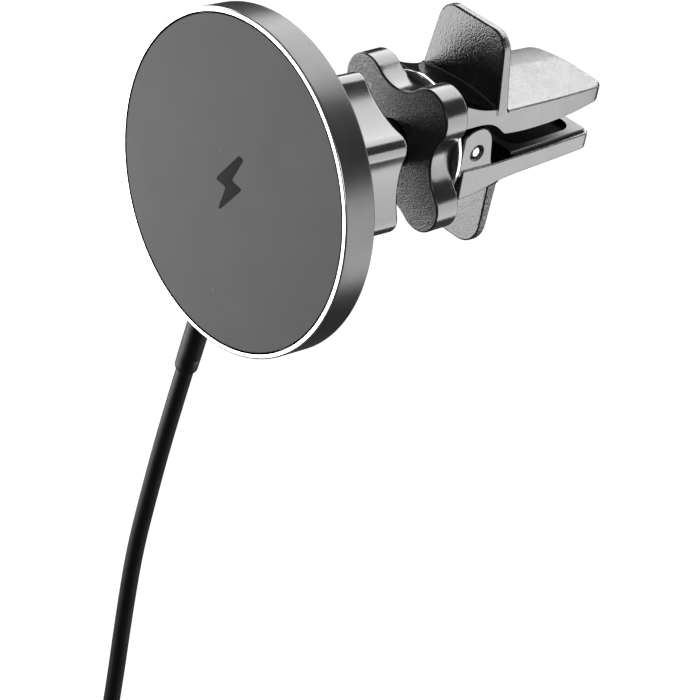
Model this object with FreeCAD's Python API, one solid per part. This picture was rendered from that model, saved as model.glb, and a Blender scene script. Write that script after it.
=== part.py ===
import FreeCAD, Part
import math
import os

# Car vent phone mount: a round magnetic charging disc on a ball joint, a vent clip closed by a
# clamping knob, and a power cable. Built with the disc's front face centre as working datum
# (disc faces -Y, +Z up) and written with the vent-blade slot as origin.

V = FreeCAD.Vector
os.makedirs("parts", exist_ok=True)

# ---------------------------------------------------------------- driving dimensions (mm)
SLOT_Y, SLOT_Z = 66.0, 2.1        # centre of the vent-blade slot, from the disc's front centre

HEAD_R = 30.0                     # disc radius
HEAD_T = 6.28                     # disc thickness
PAD_R = 28.86
RECESS_R = 28.96
CAVITY_R = 27.9

BALL_Y = 18.5                     # ball centre
BALL_R = 8.5
NECK_R = 4.2
SOCKET_R = 11.0                   # threaded barrel of the socket
NUT_Y0, NUT_Y1 = 8.9, 27.2
NUT_D, NUT_RHO, NUT_RV, NUT_N, NUT_PHI = 13.24, 2.63, 18.2, 6, 34.4

# the clamp screw's axis passes through the ball centre, a little pitched up and yawed from the disc's axis
CLAMP_PITCH, CLAMP_YAW = 3.62, -0.97
KNOB_Y0, KNOB_Y1 = 36.27, 41.31
KNOB_D, KNOB_RHO, KNOB_RV, KNOB_N, KNOB_PHI = 11.92, 5.2, 7.95, 4, 48.56
SLEEVE_R = 8.0
SLEEVE_Y0 = 38.95
RING_R = 12.1
RING_Y0, RING_Y1 = 41.36, 42.26

HALF_W = 10.0                     # half width of the clip
FIN_Y0 = 51.0
FIN_TOP = 23.1
WING_END = 79.5
PIN_Y, PIN_Z, PIN_R = 48.5, 1.3, 1.0

CABLE_D = 3.3
CABLE_Y = 3.2
CABLE_DIR = math.radians(-99.5)   # where the cable leaves the rim, in the X-Z plane
BOOT_R0, BOOT_R1 = 26.9, 42.0

COIL_C = (-26.6, CABLE_Y, -168.5)  # centre of the tied coil
COIL_RI, COIL_RO, COIL_H = 10.9, 24.4, 6.9


# ---------------------------------------------------------------- helpers
def cyl(r, y0, y1, x=0.0, z=0.0):
    return Part.makeCylinder(r, y1 - y0, V(x, y0, z), V(0, 1, 0))


def tube(ro, ri, y0, y1, x=0.0, z=0.0):
    return cyl(ro, y0, y1, x, z).cut(cyl(ri, y0 - 1, y1 + 1, x, z))


def box(x0, x1, y0, y1, z0, z1):
    return Part.makeBox(x1 - x0, y1 - y0, z1 - z0, V(x0, y0, z0))


def revolve_y(pts):
    """Closed profile of (radius, y) points turned about the Y axis."""
    w = Part.makePolygon([V(r, y, 0) for r, y in pts] + [V(pts[0][0], pts[0][1], 0)])
    return Part.Face(w).revolve(V(0, 0, 0), V(0, 1, 0), 360)


def prism_yz(pts, x0, x1):
    """Closed (y, z) outline extruded along X."""
    w = Part.makePolygon([V(x0, y, z) for y, z in pts] + [V(x0, pts[0][0], pts[0][1])])
    return Part.Face(w).extrude(V(x1 - x0, 0, 0))


def prism_xz(pts, y0, y1):
    w = Part.makePolygon([V(x, y0, z) for x, z in pts] + [V(pts[0][0], y0, pts[0][1])])
    return Part.Face(w).extrude(V(0, y1 - y0, 0))


def prism_xy(pts, z0, z1):
    w = Part.makePolygon([V(x, y, z0) for x, y in pts] + [V(pts[0][0], pts[0][1], z0)])
    return Part.Face(w).extrude(V(0, 0, z1 - z0))


def outline(runs, place):
    """Closed wire of 2-D runs laid end to end: two points make a line, more make a smooth curve."""
    edges = []
    for i, run in enumerate(runs):
        pts = [place(*q) for q in run]
        if len(pts) == 2:
            edges.append(Part.LineSegment(pts[0], pts[1]).toShape())
        else:
            c = Part.BSplineCurve()
            c.interpolate(pts)
            edges.append(c.toShape())
        nxt = place(*runs[(i + 1) % len(runs)][0])
        if (nxt - pts[-1]).Length > 1e-6:
            edges.append(Part.LineSegment(pts[-1], nxt).toShape())
    return Part.Wire(edges)


def profile_yz(runs, x0, x1):
    return Part.Face(outline(runs, lambda y, z: V(x0, y, z))).extrude(V(x1 - x0, 0, 0))


def polar(r, deg):
    return r * math.cos(math.radians(deg)), r * math.sin(math.radians(deg))


def clamp_axis(shape):
    """Turns a shape made on the disc's axis onto the clamp screw's axis."""
    out = shape.copy()
    out.rotate(V(0, BALL_Y, 0), V(1, 0, 0), CLAMP_PITCH)
    out.rotate(V(0, BALL_Y, 0), V(0, 0, 1), CLAMP_YAW)
    return out


def lobed(n, d, rho, rv, phi, y0, y1):
    """Extruded outline of n round lobes joined by concave arcs."""
    h = math.pi / n
    b = -2 * d * math.cos(h)
    e = (-b + math.sqrt(b * b - 4 * (d * d - (rho + rv) ** 2))) / 2
    edges = []
    for i in range(n):
        a = math.radians(phi) + 2 * h * i
        lc = (d * math.cos(a), d * math.sin(a))
        vp = (e * math.cos(a - h), e * math.sin(a - h))
        vn = (e * math.cos(a + h), e * math.sin(a + h))
        vnn_l = (d * math.cos(a + 2 * h), d * math.sin(a + 2 * h))
        tp = tuple(lc[k] + (vp[k] - lc[k]) * rho / (rho + rv) for k in (0, 1))
        tn = tuple(lc[k] + (vn[k] - lc[k]) * rho / (rho + rv) for k in (0, 1))
        top = ((d + rho) * math.cos(a), (d + rho) * math.sin(a))
        edges.append(Part.Arc(V(tp[0], y0, tp[1]), V(top[0], y0, top[1]), V(tn[0], y0, tn[1])).toShape())
        bot = ((e - rv) * math.cos(a + h), (e - rv) * math.sin(a + h))
        t2 = tuple(vnn_l[k] + (vn[k] - vnn_l[k]) * rho / (rho + rv) for k in (0, 1))
        edges.append(Part.Arc(V(tn[0], y0, tn[1]), V(bot[0], y0, bot[1]), V(t2[0], y0, t2[1])).toShape())
    w = Part.Wire(Part.__sortEdges__(edges))
    return Part.Face(w).extrude(V(0, y1 - y0, 0))


def edges_at(shape, test):
    return [e for e in shape.Edges if all(test(e.valueAt(e.FirstParameter + (e.LastParameter - e.FirstParameter) * t)) for t in (0.0, 0.37, 0.5, 0.81, 1.0))]


def fillet(shape, r, test, chamfer=False):
    es = edges_at(shape, test)
    try:
        out = shape.makeChamfer(r, es) if chamfer else shape.makeFillet(r, es)
        if out.isValid() and out.Volume > 0:
            return out
    except Exception as err:
        print("fillet skipped", r, len(es), err)
    return shape


def sphere_cut(r):
    return Part.makeSphere(r, V(0, BALL_Y, 0))


def rounded_tube_path(points):
    """Runs joined by tangent arcs: each radius is 0.45 of the shorter run over tan(half the turn)."""
    pts = [V(*p) for p in points]
    edges, radii, last = [], [], pts[0]
    for i in range(1, len(pts) - 1):
        a, b, c = pts[i - 1], pts[i], pts[i + 1]
        u, v = (a - b), (c - b)
        lu, lv = u.Length, v.Length
        u.normalize()
        v.normalize()
        turn = math.pi - u.getAngle(v)
        k = 0.45 * min(lu, lv)
        r = k / math.tan(turn / 2)
        radii.append(r)
        p, q = b + u * k, b + v * k
        bis = u + v
        bis.normalize()
        centre = b + bis * math.hypot(r, k)
        mid = centre - bis * r
        edges.append(Part.LineSegment(last, p).toShape())
        edges.append(Part.Arc(p, mid, q).toShape())
        last = q
    edges.append(Part.LineSegment(last, pts[-1]).toShape())
    return Part.Wire(edges), radii


def cable_tube(name, points):
    path, radii = rounded_tube_path(points)
    d = V(*points[1]) - V(*points[0])
    prof = Part.Wire(Part.makeCircle(CABLE_D / 2, V(*points[0]), d))
    solid = path.makePipeShell([prof], True, True)
    print(name, "length %.1f mm" % path.Length, "radii", ["%.0f" % r for r in radii],
          "volume %.1f of %.1f" % (solid.Volume, math.pi * CABLE_D ** 2 / 4 * path.Length))
    return solid


nodes = {}


def compound(shapes):
    return Part.makeCompound(shapes)


# ---------------------------------------------------------------- head
nodes["front_pad"] = fillet(cyl(PAD_R, 0.06, 0.9), 0.12, lambda p: abs(p.y - 0.06) < 1e-3)

ring = revolve_y([(RECESS_R, 0.0), (HEAD_R - 0.16, 0.0), (HEAD_R, 0.16), (HEAD_R, HEAD_T - 0.3), (HEAD_R - 0.3, HEAD_T),
                  (28.4, HEAD_T), (28.4, 5.1), (CAVITY_R, 5.1), (CAVITY_R, 1.8), (RECESS_R, 1.8)])
cd = V(math.cos(CABLE_DIR), 0, math.sin(CABLE_DIR))
BOOT_R = 2.15
boot_room = Part.makeCylinder(BOOT_R + 0.1, 6, V(cd.x * 26, CABLE_Y, cd.z * 26), cd)
nodes["front_plate"] = cyl(PAD_R, 0.9, 1.75).cut(boot_room)
ring = ring.cut(Part.makeCylinder(BOOT_R + 0.02, 6, V(cd.x * 26, CABLE_Y, cd.z * 26), cd))
nodes["housing_ring"] = ring

# rear cover: plate with a raised centre ring and posts for the board
cover = revolve_y([(0, 5.15), (28.35, 5.15), (28.35, 6.15), (28.1, 6.4), (26.0, 6.5), (15.5, 6.9), (0, 6.9)])
posts = []
for a in (30, 150, 270):
    px, pz = polar(19.0, a)
    cover = cover.fuse(cyl(1.9, 4.3, 5.3, px, pz))
    posts.append((px, pz))
socket_holes = [polar(12.6, a) for a in (45, 135, 225, 315)]
for px, pz in posts:
    cover = cover.cut(cyl(0.6, 4.0, 6.3, px, pz))
for px, pz in socket_holes:
    cover = cover.cut(cyl(0.85, 5.0, 7.5, px, pz)).cut(cyl(1.6, 5.0, 5.9, px, pz))
nodes["rear_cover"] = cover.cut(boot_room).removeSplitter()

# magnets: 16 curved segments, open at the cable
mags, shunt = [], []
gap_mid = math.degrees(CABLE_DIR)
n_mag, span = 16, 330.0
for i in range(n_mag):
    a0 = gap_mid + 15.0 + i * span / n_mag + 0.5
    a1 = gap_mid + 15.0 + (i + 1) * span / n_mag - 0.5
    w = []
    o0, o1, om = polar(26.9, a0), polar(26.9, a1), polar(26.9, (a0 + a1) / 2)
    i0, i1, im = polar(23.1, a0), polar(23.1, a1), polar(23.1, (a0 + a1) / 2)
    w.append(Part.Arc(V(o0[0], 1.8, o0[1]), V(om[0], 1.8, om[1]), V(o1[0], 1.8, o1[1])).toShape())
    w.append(Part.LineSegment(V(o1[0], 1.8, o1[1]), V(i1[0], 1.8, i1[1])).toShape())
    w.append(Part.Arc(V(i1[0], 1.8, i1[1]), V(im[0], 1.8, im[1]), V(i0[0], 1.8, i0[1])).toShape())
    w.append(Part.LineSegment(V(i0[0], 1.8, i0[1]), V(o0[0], 1.8, o0[1])).toShape())
    mags.append(Part.Face(Part.Wire(w)).extrude(V(0, 0.9, 0)))
nodes["magnet_segments"] = compound(mags)

a0, a1 = gap_mid + 15.0, gap_mid + 345.0
sh = tube(26.9, 23.1, 2.72, 3.12)
wedge_pts = [(0.0, 0.0), polar(40, gap_mid - 14.8), polar(40, gap_mid), polar(40, gap_mid + 14.8)]
sh = sh.cut(prism_xz(wedge_pts, 2, 4))
nodes["magnet_shunt"] = sh

# flat coil with its two leads passing the ferrite
nodes["charging_coil"] = tube(21.4, 10.4, 1.8, 2.68)
nodes["ferrite_shield"] = cyl(22.2, 2.7, 3.2)

board = cyl(25.2, 3.5, 4.28)
board = board.cut(box(-9, 1, 3.0, 5.0, -30, -22.4))
for px, pz in posts:
    board = board.cut(cyl(0.85, 3.0, 5.0, px, pz))
nodes["circuit_board"] = board
comps = []
for x0, x1, z0, z1, h in ((-5, 1, 4, 10, 0.75), (5, 10, -3, 2, 0.7), (-13, -8, -6, -1, 0.8), (3, 6, 10, 14, 0.7), (-3, 0.5, -9, -6.5, 0.6),
                          (8, 10, 6, 7.2, 0.5), (8, 10, 8, 9.2, 0.5), (-12, -10, 6, 7.2, 0.5), (-12, -10, 8, 9.2, 0.5), (-8, -2, -20.5, -18.5, 0.6)):
    comps.append(box(x0, x1, 4.28, 4.28 + h, z0, z1))
nodes["board_components"] = compound(comps)
bs = []
for px, pz in posts:
    bs.append(cyl(1.3, 3.22, 3.5, px, pz).fuse(cyl(0.58, 3.5, 6.0, px, pz)))
nodes["board_screws"] = compound(bs)

# ball socket: flange, threaded barrel with six slots, spherical inside
sock = revolve_y([(0, 6.9), (15.0, 6.9), (15.0, 8.5), (SOCKET_R, 8.5), (SOCKET_R, 19.7), (0, 19.7)])
sock = fillet(sock, 0.4, lambda p: abs(p.y - 8.5) < 1e-3 and abs(math.hypot(p.x, p.z) - 15.0) < 1e-3)
sock = sock.cut(sphere_cut(BALL_R + 0.2))
half = math.radians(58)
cup_cavity = sphere_cut(9.62).common(Part.makeCone(0, 12 * math.tan(half), 12, V(0, BALL_Y, 0), V(0, -1, 0)))
sock = sock.cut(cup_cavity)
sock = sock.cut(cyl(BALL_R + 0.2, BALL_Y, 21))
for i in range(6):
    s = box(-0.45, 0.45, 14.2, 21, 6.5, 12.5)
    s.rotate(V(0, 0, 0), V(0, 1, 0), 60 * i)
    sock = sock.cut(s)
for px, pz in socket_holes:
    sock = sock.cut(cyl(0.6, 6.5, 8.2, px, pz))
nodes["ball_socket"] = sock
ss = []
for px, pz in socket_holes:
    ss.append(cyl(1.45, 5.2, 5.9, px, pz).fuse(cyl(0.58, 5.9, 8.1, px, pz)))
nodes["socket_screws"] = compound(ss)

# six-lobed nut of the ball joint
nut = lobed(NUT_N, NUT_D, NUT_RHO, NUT_RV, NUT_PHI, NUT_Y0, NUT_Y1)
nut = fillet(nut, 0.8, lambda p: abs(p.y - NUT_Y1) < 1e-3)
nut = fillet(nut, 0.4, lambda p: abs(p.y - NUT_Y0) < 1e-3)
nut = nut.cut(cyl(SOCKET_R + 0.06, NUT_Y0 - 1, BALL_Y + 1.6))
nut = nut.cut(sphere_cut(9.75).common(cyl(12, BALL_Y + 1.5, BALL_Y + 5.1)))
mouth = Part.makeCone(8.15, 9.4, NUT_Y1 - BALL_Y - 5.1 + 0.01, V(0, BALL_Y + 5.1 - 0.01, 0), V(0, 1, 0))
nut = nut.cut(mouth)
nodes["ball_nut"] = nut.removeSplitter()


def sphere_zone(r0, r1, deg0, deg1):
    """Shell between radii r0 and r1, from deg0 to deg1 measured from +Y at the ball centre."""
    a, b = math.radians(deg0), math.radians(deg1)
    m = (a + b) / 2

    def pt(r, t):
        return V(r * math.sin(t), BALL_Y + r * math.cos(t), 0)
    es = [Part.Arc(pt(r1, a), pt(r1, m), pt(r1, b)).toShape()]
    if deg1 < 179.9:
        es.append(Part.LineSegment(pt(r1, b), pt(r0, b)).toShape())
    else:
        es.append(Part.LineSegment(V(0, BALL_Y - r1, 0), V(0, BALL_Y - r0, 0)).toShape())
    es.append(Part.Arc(pt(r0, b), pt(r0, m), pt(r0, a)).toShape())
    es.append(Part.LineSegment(pt(r0, a), pt(r1, a)).toShape())
    return Part.Face(Part.Wire(es)).revolve(V(0, 0, 0), V(0, 1, 0), 360)


nodes["friction_cup"] = sphere_zone(8.65, 9.5, 143.0, 176.0)
nodes["seat_ring"] = sphere_zone(8.65, 9.62, 56.5, 77.0)

# ---------------------------------------------------------------- clip
stem = Part.makeSphere(BALL_R, V(0, BALL_Y, 0)).fuse(cyl(NECK_R, BALL_Y + 6.0, 43.6))
stem = stem.fuse(cyl(NECK_R + 0.35, 40.6, 43.6))
nodes["ball_stem"] = clamp_axis(stem.removeSplitter())

knob = lobed(KNOB_N, KNOB_D, KNOB_RHO, KNOB_RV, KNOB_PHI, KNOB_Y0, KNOB_Y1)
knob = fillet(knob, 0.35, lambda p: abs(p.y - KNOB_Y0) < 1e-3)
knob = fillet(knob, 0.3, lambda p: abs(p.y - KNOB_Y1) < 1e-3)
knob = knob.cut(cyl(NECK_R + 0.3, KNOB_Y0 - 1, KNOB_Y1 + 1)).cut(cyl(SLEEVE_R + 0.06, KNOB_Y0 + 0.95, KNOB_Y1 + 1))
nodes["clamp_knob"] = clamp_axis(knob.removeSplitter())

tring = tube(RING_R, SLEEVE_R + 0.06, RING_Y0, RING_Y1)
tring = fillet(tring, 0.25, lambda p: abs(math.hypot(p.x, p.z) - RING_R) < 1e-3)
nodes["thrust_ring"] = clamp_axis(tring)

# clip body: block over the ears, boss between the ears, threaded sleeve, wing and upper fin
W = HALF_W
side = [[(43.35, 6.9), (43.35, 11.45)], [(43.35, 11.45), (44.5, 11.0), (46.0, 10.5), (48.0, 10.0), (51.0, 9.6)],
        [(53.6, 9.2), (58.5, 9.15), (68.0, 9.25), (WING_END, 9.45)], [(WING_END, 9.45), (WING_END, 6.9)],
        [(WING_END, 6.9), (78.4, 6.5), (76.2, 6.0), (73.5, 5.4), (70.0, 4.85), (66.0, 4.4), (62.0, 4.15), (58.0, 4.05), (55.0, 4.2)],
        [(55.0, 4.2), (53.7, 4.55), (52.8, 5.3), (51.6, 6.15), (50.0, 6.8), (48.2, 7.05), (46.0, 7.0)]]
body = profile_yz(side, -W - 0.3, W + 0.3)
# crowned top between knob and fin
crown = cyl(53.0, 43.35, 53.0, 0, -43.0 + 0.6).common(box(-W, W, 43.35, 51.8, 7.5, 13))
crown_cut = profile_yz([[(43.35, 7.0), (43.35, 12.55)], [(43.35, 12.55), (44.5, 12.1), (46.0, 11.55), (48.0, 11.05), (51.0, 10.6), (51.8, 10.4)],
                        [(51.8, 10.4), (51.8, 7.0)]], -W, W)
body = body.fuse(crown.common(crown_cut))
# plan outline: sides slightly tapered, rear corners rounded
plan = Part.Face(outline([[(-W, 43.0), (W, 43.0)], [(W, 43.0), (W + 0.1, 54.0), (W, 66.0), (W - 0.6, 79.0)],
                          [(W - 0.6, 79.0), (4.0, 79.35), (0, 79.5), (-4.0, 79.35), (-W + 0.6, 79.0)],
                          [(-W + 0.6, 79.0), (-W, 66.0), (-W - 0.1, 54.0), (-W, 43.0)]], lambda x, y: V(x, y, -30))).extrude(V(0, 0, 60))
plan = fillet(plan, 2.3, lambda p: abs(p.y - 79.0) < 1e-3 and abs(abs(p.x) - W + 0.6) < 1e-3)
body = body.common(plan)
# wing's top crowned, falling away to one side
wing_cyl = Part.makeCylinder(85.0, 40, V(3.0, 50.6, 9.24 - 85.0), V(0, 1, 0.012))
body = body.cut(box(-12, 12, 51.2, 85, 6.5, 14).cut(wing_cyl))
fin = prism_xz([(-10.1, 8.6), (10.1, 8.6), (10.1, 9.7), (8.08, FIN_TOP), (-8.08, FIN_TOP), (-10.1, 9.7)], FIN_Y0, 53.7)
fin = fillet(fin, 3.72, lambda p: abs(p.z - FIN_TOP) < 1e-3 and abs(abs(p.x) - 8.08) < 1e-3)
fin = fin.common(prism_yz([(FIN_Y0, 8.5), (53.7, 8.5), (52.7, 23.5), (FIN_Y0, 23.5)], -11, 11))
body = body.fuse(fin)
boss = prism_yz([(44.4, -1.1), (44.4, 9.0), (53.0, 9.0), (53.4, 5.0), (53.0, 0.5), (51.8, -1.1)], -6.8, 6.8)
body = body.fuse(boss)
sleeve = clamp_axis(cyl(SLEEVE_R, SLEEVE_Y0, 45.6)).cut(box(-20, 20, 44.42, 60, -20, 20))
sleeve = sleeve.cut(box(-20, -6.85, 43.95, 60, -20, 20)).cut(box(6.85, 20, 43.95, 60, -20, 20))
body = body.fuse(sleeve)
# room for the thrust ring's travel
body = body.cut(clamp_axis(tube(12.7, SLEEVE_R, 40, 43.85)))
body = body.cut(clamp_axis(cyl(NECK_R, 30, 43.6))).cut(clamp_axis(cyl(NECK_R + 0.35, 40.6, 43.6)))
body = body.cut(Part.makeCylinder(PIN_R + 0.001, 40, V(-20, PIN_Y, PIN_Z), V(1, 0, 0)))
# spring pocket and pad recess
body = body.cut(Part.makeCylinder(1.9, 5, V(0, 56.0, 2.9), V(0, 0, 1)))
PAD_UNDER = [(60.0, 3.5), (60.0, 4.8), (66.0, 5.1), (70.0, 5.55), (73.5, 6.1), (75.5, 6.5), (75.5, 3.5)]
body = body.cut(prism_yz(PAD_UNDER, -8.2, 8.2))
nodes["clip_body"] = body.removeSplitter()

up = prism_yz([(60.05, 3.98), (62.0, 4.05), (66.0, 4.3), (70.0, 4.75), (73.5, 5.3), (75.45, 5.7), (75.45, 6.45), (73.5, 6.08), (70.0, 5.53), (66.0, 5.08), (60.05, 4.78)], -8.15, 8.15)
nodes["upper_jaw_pad"] = up

# lower jaw
ear_pts = [[(44.75, -3.0), (44.75, 4.7)],
           [(44.75, 4.7), (45.4, 5.3), (46.3, 5.85), (47.4, 6.15), (48.5, 6.2), (49.6, 5.95), (50.6, 5.35), (51.4, 4.4),
            (51.9, 3.2), (52.15, 1.8), (52.45, 0.2), (52.9, -1.6)], [(52.9, -1.6), (52.9, -3.0)]]
jaw = profile_yz(ear_pts, 7.1, 9.75).fuse(profile_yz(ear_pts, -9.75, -7.1))
floor_pts = [[(45.6, -1.75), (52.9, -1.7)], [(52.9, -1.7), (56.0, -1.45), (64.0, -1.0), (72.0, -0.4), (77.6, 0.0)],
             [(77.6, 0.0), (78.0, -0.25), (78.15, -0.8), (78.15, -1.7), (77.95, -2.55), (77.5, -3.05), (76.8, -3.25)],
             [(76.8, -3.25), (71.4, -3.85), (64.6, -4.5), (57.5, -5.3), (55.3, -5.7), (53.1, -6.3), (50.5, -7.0), (48.0, -7.4), (45.8, -7.6)]]
floor = profile_yz(floor_pts, -W, W)
plan2 = prism_xy([(-W, 45.0), (W, 45.0), (W, 66.0), (W - 0.1, 78.05), (0, 78.25), (-W + 0.1, 78.05), (-W, 66.0)], -30, 30)
plan2 = fillet(plan2, 1.7, lambda p: abs(p.y - 78.05) < 1e-3 and abs(abs(p.x) - W + 0.1) < 1e-3)
floor = floor.common(plan2)
jaw = jaw.fuse(floor)
# clearance under the clip body's boss
jaw = jaw.cut(prism_yz([(44.0, -2.4), (44.0, 8), (54.5, 8), (54.5, -2.0), (53.5, -2.4)], -7.1, 7.1))
# heel that the thrust ring pushes
heel = prism_yz([(43.6, -9.3), (43.13, -9.7), (43.04, -10.2), (43.13, -10.7), (43.6, -11.3), (46.2, -10.4), (49.0, -7.2), (47.5, -5.5), (46.0, -5.5), (46.0, -9.3)], -5.2, 5.2)
jaw = jaw.fuse(heel)
tab = prism_xz([(-9.9, -5.2), (9.9, -5.2), (9.95, -19.5), (-9.95, -19.5)], 53.1, 55.4)
tab = fillet(tab, 4.9, lambda p: abs(p.z + 19.5) < 1e-3 and abs(abs(p.x) - 9.95) < 1e-3)
tab = tab.common(prism_yz([(53.1, -5.0), (55.4, -5.0), (54.6, -20.0), (53.1, -20.0)], -11, 11))
jaw = jaw.fuse(tab)
jaw = jaw.cut(Part.makeCylinder(PIN_R + 0.04, 40, V(-20, PIN_Y, PIN_Z), V(1, 0, 0)))
for sx in (-1, 1):
    jaw = jaw.cut(Part.makeCylinder(1.4, 2, V(sx * 9.1, PIN_Y, PIN_Z), V(sx, 0, 0)))
# recess for the pad and seat for the spring
REC = [(58.2, -1.9), (58.2, 1.5), (77.0, 1.5), (77.0, -0.8), (72.0, -1.15), (64.0, -1.65)]
jaw = jaw.cut(prism_yz(REC, -9.0, 9.0))
jaw = jaw.cut(Part.makeCylinder(1.9, 3, V(0, 56.0, -2.6), V(0, 0, 1)))
nodes["lower_jaw"] = jaw.removeSplitter()

# rubber tray with a raised rim and a long pocket with round ends
lp = prism_yz([(58.25, -1.85), (58.25, -0.75), (64.0, -0.35), (72.0, 0.25), (76.95, 0.6), (76.95, -0.78), (72.0, -1.12), (64.0, -1.62)], -8.95, 8.95)
slot = Part.makeCylinder(3.0, 6, V(-4.6, 62.9, -1.35), V(0, 0, 1)).fuse(Part.makeCylinder(3.0, 6, V(4.6, 62.9, -1.35), V(0, 0, 1)))
slot = slot.fuse(Part.makeCylinder(3.0, 6, V(-4.6, 72.4, -0.85), V(0, 0, 1))).fuse(Part.makeCylinder(3.0, 6, V(4.6, 72.4, -0.85), V(0, 0, 1)))
pocket = prism_yz([(62.9, -1.3), (72.4, -0.7), (72.4, 4), (62.9, 4)], -7.6, 7.6).fuse(prism_yz([(59.9, -1.35), (75.4, -0.55), (75.4, 4), (59.9, 4)], -4.6, 4.6))
pocket = pocket.fuse(slot.common(prism_yz([(59.0, -1.35), (76.0, -0.5), (76.0, 4), (59.0, 4)], -8, 8)))
lp = lp.cut(pocket)
nodes["lower_jaw_pad"] = lp.removeSplitter()

nodes["pivot_pin"] = fillet(Part.makeCylinder(PIN_R, 18.9, V(-9.45, PIN_Y, PIN_Z), V(1, 0, 0)), 0.2, lambda p: abs(abs(p.x) - 9.45) < 1e-3)

# opening spring: round-wire coil between the pocket and the seat
sp_r, sp_w, sp_z0, sp_z1 = 1.45, 0.35, -2.35, 6.9
hel = Part.makeHelix(1.55, sp_z1 - sp_z0, sp_r)
prof = Part.Wire(Part.makeCircle(sp_w / 2, V(sp_r, 0, 0), V(0, 1, 0.17)))
spring = Part.Wire(hel.Edges).makePipeShell([prof], True, True)
spring.translate(V(0, 56.0, sp_z0))
nodes["jaw_spring"] = spring

# ---------------------------------------------------------------- cable
b0 = V(cd.x * BOOT_R0, CABLE_Y, cd.z * BOOT_R0)
boot = Part.makeCylinder(BOOT_R, BOOT_R1 - BOOT_R0, b0, cd)
boot = fillet(boot, 0.5, lambda p: abs((V(p.x, 0, p.z)).dot(cd) - BOOT_R1) < 1e-3)
flange = box(-2.9, 2.9, 1.75, 4.75, -27.75, -26.9)
flange.rotate(V(0, 0, 0), V(0, 1, 0), -math.degrees(CABLE_DIR) - 90)
nodes["cable_boot"] = boot.fuse(flange).removeSplitter()

e0 = (cd.x * BOOT_R1, CABLE_Y, cd.z * BOOT_R1)
LEAD = [e0, (-9.44, 3.2, -56.4), (-11.55, 3.2, -73.0), (-13.05, 3.2, -87.0), (-13.2, 3.2, -103.0), (-12.8, 3.2, -119.8),
        (-12.2, 3.2, -137.0), (-7.4, 3.2, -153.4)]
nodes["cable_lead"] = cable_tube("cable_lead", LEAD)

cx, cy, cz = COIL_C
coil = Part.makeCylinder(COIL_RO, COIL_H, V(cx, cy - COIL_H / 2, cz), V(0, 1, 0)).cut(
    Part.makeCylinder(COIL_RI, COIL_H + 2, V(cx, cy - COIL_H / 2 - 1, cz), V(0, 1, 0)))
coil = coil.makeFillet(1.7, [e for e in coil.Edges if e.Curve.TypeId == "Part::GeomCircle"])
nodes["cable_coil"] = coil

TAIL_Y = 4.9
TAIL = [(cx + 22.7, TAIL_Y, cz - 8.7), (cx + 23.0, TAIL_Y, cz - 18.8), (cx + 22.6, TAIL_Y, cz - 29.0)]
nodes["cable_tail"] = cable_tube("cable_tail", TAIL)

# strap round the bundle, on the side away from the lead
tie_o = box(COIL_RI - 1.1, COIL_RO + 0.8, -COIL_H / 2 - 0.8, COIL_H / 2 + 0.8, -3.0, 3.0)
tie_o = tie_o.makeFillet(1.6, [e for e in tie_o.Edges if abs(e.tangentAt(e.FirstParameter).z) > 0.99])
tie_i = box(COIL_RI - 0.5, COIL_RO + 0.15, -COIL_H / 2 - 0.15, COIL_H / 2 + 0.15, -4.0, 4.0)
tie = tie_o.cut(tie_i)
tie.rotate(V(0, 0, 0), V(0, 1, 0), -165)
tie.translate(V(cx, cy, cz))
nodes["cable_tie"] = tie

# plug at the end of the tail, pointing down
px, pz = TAIL[-1][0], TAIL[-1][2]
relief = Part.makeCone(2.15, 2.7, 6.0, V(px, TAIL_Y, pz), V(0, 0, -1))
grip = box(-5.6, 5.6, -3.1, 3.1, -26.0, -5.9)
grip = grip.makeFillet(2.4, [e for e in grip.Edges if abs(e.tangentAt(e.FirstParameter).z) > 0.99])
grip = grip.makeFillet(0.6, [e for e in grip.Edges if abs(e.valueAt(e.FirstParameter).z - e.valueAt(e.LastParameter).z) < 1e-6 and abs(e.tangentAt(e.FirstParameter).z) < 0.01])
grip.translate(V(px, TAIL_Y, pz))
plug_body = relief.fuse(grip)
shell_o = box(-4.15, 4.15, -1.2, 1.2, -32.4, -24.6)
shell_o = shell_o.makeFillet(1.15, [e for e in shell_o.Edges if abs(e.tangentAt(e.FirstParameter).z) > 0.99])
shell_i = box(-3.85, 3.85, -0.9, 0.9, -33.0, -26.4)
shell_i = shell_i.makeFillet(0.85, [e for e in shell_i.Edges if abs(e.tangentAt(e.FirstParameter).z) > 0.99])
shell_o.translate(V(px, TAIL_Y, pz))
shell_i.translate(V(px, TAIL_Y, pz))
nodes["plug_body"] = plug_body.cut(shell_o).removeSplitter()
nodes["plug_shell"] = shell_o.cut(shell_i)
tong = []
for s in (-1, 1):
    t = box(-3.2, 3.2, 0.45, 0.86, -31.9, -26.4) if s > 0 else box(-3.2, 3.2, -0.86, -0.45, -31.9, -26.4)
    t.translate(V(px, TAIL_Y, pz))
    tong.append(t)
nodes["plug_tongue"] = compound(tong)

# ---------------------------------------------------------------- write
shift = V(0, -SLOT_Y, -SLOT_Z)
for name, shape in nodes.items():
    s = shape.copy()
    s.translate(shift)
    bad = [x for x in s.Solids if not x.isValid() or x.Volume <= 0]
    if bad or not s.Solids:
        print("CHECK", name, "solids", len(s.Solids), "bad", len(bad))
    s.exportStep("parts/" + name + ".step")
    b = s.BoundBox
    print("%-18s solids %2d  vol %8.1f  x %.1f..%.1f y %.1f..%.1f z %.1f..%.1f" % (name, len(s.Solids), s.Volume, b.XMin, b.XMax, b.YMin, b.YMax, b.ZMin, b.ZMax))
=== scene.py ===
import bpy
import bmesh
import math
import numpy as np
from mathutils import Matrix, Vector
from mathutils.bvhtree import BVHTree


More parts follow.
